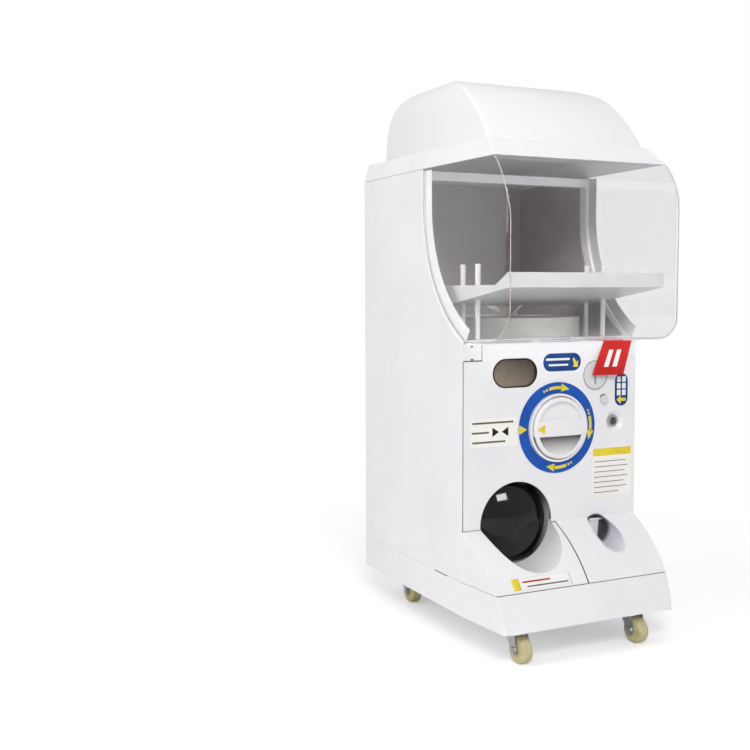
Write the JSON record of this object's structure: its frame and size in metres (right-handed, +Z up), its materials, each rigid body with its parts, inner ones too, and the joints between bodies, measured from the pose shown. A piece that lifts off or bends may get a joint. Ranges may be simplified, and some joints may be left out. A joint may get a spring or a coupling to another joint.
{
  "type": "capsule toy vending machine",
  "caption": "Free-standing capsule toy vending machine on casters with a twist knob, clear display window, coin door, outlet shutter and lift-up lid.",
  "frame": {"origin": "centre of the bounding box on the floor, under the caster wheels", "axes": "+X to the viewer's right, +Y to the back, +Z up; the front faces -Y"},
  "size_m": [0.32, 0.458, 0.8728],
  "materials": {
    "white_plastic": "smooth moulded",
    "light_grey_plastic": "fine grain",
    "dark_plastic": "fine grain",
    "frosted_plastic": "smooth moulded",
    "clear_plastic": "polished",
    "smoked_plastic": "polished",
    "blue_film": "printed film",
    "red_vinyl": "soft sheet",
    "steel": "zinc plated",
    "chrome": "polished",
    "nylon": "moulded",
    "acetal": "moulded"
  },
  "bodies": {
    "cabinet": {"cabinet_shell": "white_plastic", "base_tray": "white_plastic", "outlet_tray": "white_plastic", "window_frame": "white_plastic", "window_cover": "clear_plastic", "hopper_liner": "dark_plastic", "hopper_floor": "white_plastic", "display_tray": "light_grey_plastic", "tray_posts": "steel", "lid_hinge_leaves": "steel", "lid_hinge_pins": "steel", "corner_blocks": "white_plastic", "door_hinge_pins": "steel", "lock_keeper": "steel", "gear_bracket": "steel", "wheel_bushing": "acetal", "capsule_chute": "light_grey_plastic", "cash_box": "steel", "caster_plates": "steel"},
    "lid": {"lid": "white_plastic", "hood": "frosted_plastic", "lid_hinge_straps": "steel"},
    "door": {"front_door": "white_plastic", "knob_bushing": "acetal", "price_window": "clear_plastic", "price_box": "dark_plastic", "coin_entry": "white_plastic", "coin_chute": "light_grey_plastic", "lock_body": "chrome", "return_cup": "dark_plastic", "pause_tag": "red_vinyl", "knob_ring": "blue_film", "knob_bezel": "white_plastic"},
    "knob": {"knob": "white_plastic", "knob_shaft": "steel", "shaft_clip": "steel"},
    "pinion": {"pinion_shaft": "steel", "bevel_pinion": "acetal"},
    "wheel": {"dispensing_wheel": "acetal", "bevel_gear": "acetal", "wheel_shaft": "steel", "agitator": "acetal"},
    "shutter": {"outlet_shutter": "smoked_plastic"},
    "button": {"return_button": "light_grey_plastic"},
    "lock": {"lock_plug": "chrome", "lock_cam": "steel"},
    "flap": {"return_flap": "white_plastic"},
    "caster_front_left": {"caster_fork_front_left": "steel", "caster_axle_front_left": "steel"},
    "caster_front_left_wheel": {"caster_wheel_front_left": "nylon"},
    "caster_front_right": {"caster_fork_front_right": "steel", "caster_axle_front_right": "steel"},
    "caster_front_right_wheel": {"caster_wheel_front_right": "nylon"},
    "caster_rear_left": {"caster_fork_rear_left": "steel", "caster_axle_rear_left": "steel"},
    "caster_rear_left_wheel": {"caster_wheel_rear_left": "nylon"},
    "caster_rear_right": {"caster_fork_rear_right": "steel", "caster_axle_rear_right": "steel"},
    "caster_rear_right_wheel": {"caster_wheel_rear_right": "nylon"}
  },
  "joints": [
    {"name": "door_hinge", "type": "hinge", "parent": "cabinet", "child": "door", "pos_m": [-0.143, -0.1135, 0.3], "axis": [0, 0, -1], "range_deg": [0, 105]},
    {"name": "lid_hinge", "type": "hinge", "parent": "cabinet", "child": "lid", "pos_m": [0, 0.227, 0.728], "axis": [-1, 0, 0], "range_deg": [0, 75]},
    {"name": "shutter_swing", "type": "hinge", "parent": "cabinet", "child": "shutter", "pos_m": [-0.063, -0.1, 0.248], "axis": [1, 0, 0], "range_deg": [0, 55], "stiffness_Nm_per_rad": 0.02, "springref_deg": -14.32},
    {"name": "wheel_turn", "type": "hinge", "parent": "cabinet", "child": "wheel", "pos_m": [0.01, 0.025, 0.48], "axis": [0, 0, 1], "continuous": true},
    {"name": "pinion_turn", "type": "hinge", "parent": "cabinet", "child": "pinion", "pos_m": [0.01, -0.02, 0.329], "axis": [0, 1, 0], "continuous": true},
    {"name": "knob_turn", "type": "hinge", "parent": "door", "child": "knob", "pos_m": [0.01, -0.117, 0.329], "axis": [0, 1, 0], "continuous": true},
    {"name": "button_press", "type": "slide", "parent": "door", "child": "button", "axis": [0, 1, 0], "range_m": [0, 0.004], "stiffness_N_per_m": 400},
    {"name": "lock_turn", "type": "hinge", "parent": "door", "child": "lock", "pos_m": [0.12, -0.1, 0.333], "axis": [0, 1, 0], "range_deg": [0, 90]},
    {"name": "flap_swing", "type": "hinge", "parent": "door", "child": "flap", "pos_m": [0.084, -0.111, 0.177], "axis": [-1, 0, 0], "range_deg": [0, 40]},
    {"name": "caster_front_left_swivel", "type": "hinge", "parent": "cabinet", "child": "caster_front_left", "pos_m": [-0.105, -0.178, 0.049], "axis": [0, 0, 1], "continuous": true},
    {"name": "caster_front_left_roll", "type": "hinge", "parent": "caster_front_left", "child": "caster_front_left_wheel", "pos_m": [-0.105, -0.195, 0.02], "axis": [1, 0, 0], "continuous": true},
    {"name": "caster_front_right_swivel", "type": "hinge", "parent": "cabinet", "child": "caster_front_right", "pos_m": [0.105, -0.178, 0.049], "axis": [0, 0, 1], "continuous": true},
    {"name": "caster_front_right_roll", "type": "hinge", "parent": "caster_front_right", "child": "caster_front_right_wheel", "pos_m": [0.105, -0.195, 0.02], "axis": [1, 0, 0], "continuous": true},
    {"name": "caster_rear_left_swivel", "type": "hinge", "parent": "cabinet", "child": "caster_rear_left", "pos_m": [-0.105, 0.162, 0.049], "axis": [0, 0, 1], "continuous": true},
    {"name": "caster_rear_left_roll", "type": "hinge", "parent": "caster_rear_left", "child": "caster_rear_left_wheel", "pos_m": [-0.105, 0.145, 0.02], "axis": [1, 0, 0], "continuous": true},
    {"name": "caster_rear_right_swivel", "type": "hinge", "parent": "cabinet", "child": "caster_rear_right", "pos_m": [0.105, 0.162, 0.049], "axis": [0, 0, 1], "continuous": true},
    {"name": "caster_rear_right_roll", "type": "hinge", "parent": "caster_rear_right", "child": "caster_rear_right_wheel", "pos_m": [0.105, 0.145, 0.02], "axis": [1, 0, 0], "continuous": true}
  ],
  "couplings": [
    {"joint": "knob_turn", "follows": "wheel_turn", "ratio": 1},
    {"joint": "pinion_turn", "follows": "wheel_turn", "ratio": 1}
  ]
}
